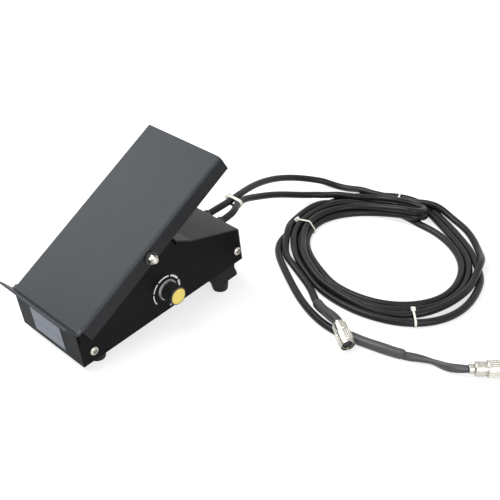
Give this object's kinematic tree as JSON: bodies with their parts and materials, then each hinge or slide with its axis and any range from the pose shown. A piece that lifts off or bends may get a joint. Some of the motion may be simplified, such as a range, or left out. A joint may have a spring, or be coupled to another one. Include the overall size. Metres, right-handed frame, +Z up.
{
  "type": "tig foot pedal",
  "caption": "Rocking foot pedal for a TIG welder: sheet treadle on a wedge housing, geared potentiometer, snap switch, range knob, and coiled cables with round plugs.",
  "frame": {"origin": "on the floor under the middle of the object's box, measured without its cables and plugs", "axes": "+Z up from the floor, +Y from the heel lip to the toe and the cable end, +X to the knob side"},
  "size_m": [0.3653, 0.4425, 0.1515],
  "materials": {
    "black_coat": "satin powder coat",
    "cover_coat": "satin powder coat",
    "zinc": "zinc plated",
    "nickel": "nickel plated",
    "foot_rubber": "matte",
    "riser_plastic": "matte",
    "knob_plastic": "fluted, matte",
    "insert_plastic": "matte",
    "knob_yellow": "satin",
    "nylon": "natural nylon",
    "pot_case": "satin",
    "brass": "turned",
    "switch_case": "moulded",
    "cable_sheath": "satin sheath"
  },
  "bodies": {
    "base": {"housing": "black_coat", "bottom_plate": "black_coat", "rear_cover": "cover_coat", "side_screws": "zinc", "front_feet": "foot_rubber", "rear_risers": "riser_plastic", "rear_feet": "foot_rubber", "foot_screws": "zinc", "pivot_bolt": "zinc", "pivot_sleeve": "zinc", "pivot_washers": "zinc", "pivot_nut": "nickel", "pot_bracket": "zinc", "travel_stops": "foot_rubber", "foot_pot": "pot_case", "foot_pot_nut": "brass", "range_pot": "pot_case", "range_pot_nut": "brass", "switch_bracket": "zinc", "switch_body": "switch_case", "switch_screws": "zinc", "spring_bridge": "zinc", "return_springs": "zinc", "terminal_strip": "nylon", "cable_boot_a": "foot_rubber", "cable_boot_b": "foot_rubber", "plug_1_body": "nickel", "plug_1_insert": "insert_plastic", "plug_2_body": "nickel", "plug_2_insert": "insert_plastic", "cable_a_lead": "cable_sheath", "cable_b_lead": "cable_sheath", "cable_coil": "cable_sheath", "cable_a_tail": "cable_sheath", "cable_b_tail": "cable_sheath"},
    "pedal": {"pedal": "black_coat", "pivot_bushes": "nylon", "gear_sector": "nylon", "switch_cam": "nylon", "spring_cups": "nylon"},
    "knob": {"knob_body": "knob_plastic", "knob_cap": "knob_yellow", "knob_skirt": "nickel", "range_shaft": "brass"},
    "pinion": {"pinion": "nylon", "foot_pot_shaft": "brass"},
    "switch_lever": {"switch_lever": "zinc"},
    "switch_plunger": {"switch_plunger": "nylon"},
    "plug_1_ring": {"plug_1_ring": "nickel"},
    "plug_2_ring": {"plug_2_ring": "nickel"}
  },
  "joints": [
    {"name": "pedal_pivot", "type": "hinge", "parent": "base", "child": "pedal", "pos_m": [-0.00358, -0.01016, 0.0846], "axis": [-1, 0, 0], "range_deg": [0, 20], "stiffness_Nm_per_rad": 2, "springref_deg": -34.38, "deforming": ["return_springs"]},
    {"name": "pinion_spin", "type": "hinge", "parent": "base", "child": "pinion", "pos_m": [-0.01358, -0.00349, 0.03252], "axis": [-1, 0, 0], "range_deg": [-120.5, 0.5]},
    {"name": "switch_lever_hinge", "type": "hinge", "parent": "base", "child": "switch_lever", "pos_m": [-0.02857, -0.02496, 0.05321], "axis": [1, 0, 0], "range_deg": [-0.1, 7.3]},
    {"name": "switch_plunger_slide", "type": "slide", "parent": "base", "child": "switch_plunger", "axis": [0, -0.7955, -0.606], "range_m": [0, 0.00078]},
    {"name": "range_knob", "type": "hinge", "parent": "base", "child": "knob", "pos_m": [0.04292, 0.00862, 0.04033], "axis": [1, 0, 0], "range_deg": [-145, 145]},
    {"name": "plug_1_ring_spin", "type": "hinge", "parent": "base", "child": "plug_1_ring", "pos_m": [0.1621, 0.1068, 0.0156], "axis": [0.8494, -0.4797, -0.2199], "continuous": true},
    {"name": "plug_2_ring_spin", "type": "hinge", "parent": "base", "child": "plug_2_ring", "pos_m": [0.2805, 0.1415, 0.0078], "axis": [0.7001, 0.7141, 0], "continuous": true}
  ],
  "couplings": [
    {"joint": "pinion_spin", "follows": "pedal_pivot", "ratio": -6},
    {"joint": "switch_lever_hinge", "follows": "pedal_pivot", "ratio": 0.359},
    {"joint": "switch_plunger_slide", "follows": "pedal_pivot", "m_per_rad": 0.00215}
  ]
}
